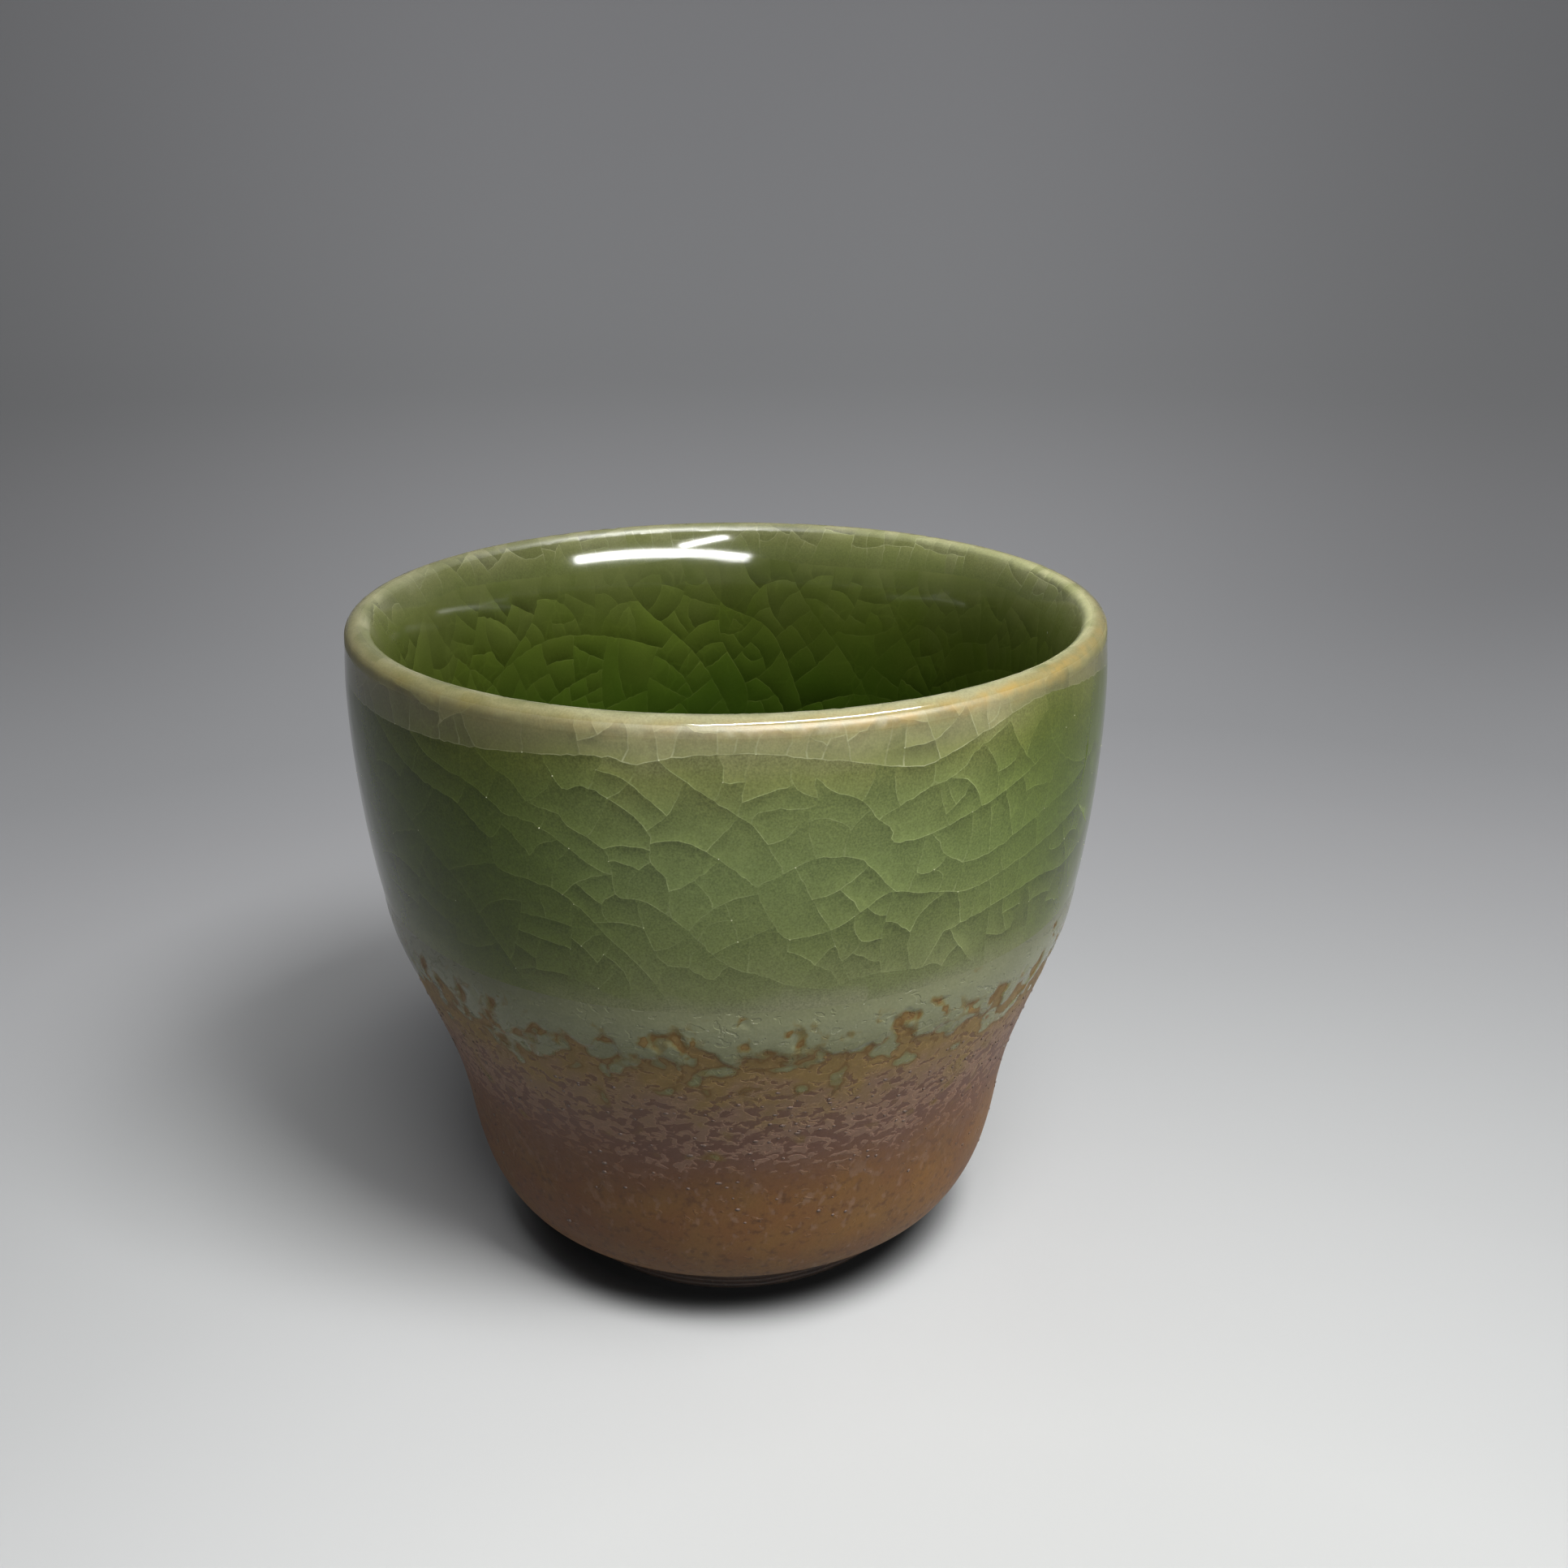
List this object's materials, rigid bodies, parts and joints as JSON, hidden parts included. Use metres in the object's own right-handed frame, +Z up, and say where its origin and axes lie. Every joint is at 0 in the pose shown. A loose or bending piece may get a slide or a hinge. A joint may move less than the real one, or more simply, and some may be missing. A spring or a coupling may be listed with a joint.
{
  "type": "guinomi sake cup",
  "caption": "Small handleless stoneware sake cup with a crackled green glaze running over brown iron slip, on a low foot ring.",
  "frame": {"origin": "middle of the resting face under the foot ring", "axes": "+Z up along the cup's axis; the picture was taken from the -Y side"},
  "size_m": [0.0658, 0.0658, 0.06],
  "materials": {
    "clay": "matt fired stoneware, brown",
    "foot_clay": "matt fired stoneware, worn at the resting face",
    "iron_slip": "satin brown iron slip with fine pale specks",
    "mottled_glaze": "thin milky glaze over brown, mottled and pitted",
    "pale_glaze": "thick pale grey-green glaze edge, glossy",
    "crackle_glaze": "glossy olive green glaze with layered crackle",
    "lip_glaze": "thin pale glaze with ochre stains, glossy",
    "well_glaze": "deep green glossy glaze with soft crackle"
  },
  "bodies": {
    "root": {"stoneware_body": "clay", "foot_ring": "foot_clay", "iron_slip": "iron_slip", "run_band": "mottled_glaze", "glaze_edge_roll": "pale_glaze", "outer_glaze": "crackle_glaze", "lip_glaze": "lip_glaze", "inner_glaze": "well_glaze"}
  },
  "joints": []
}
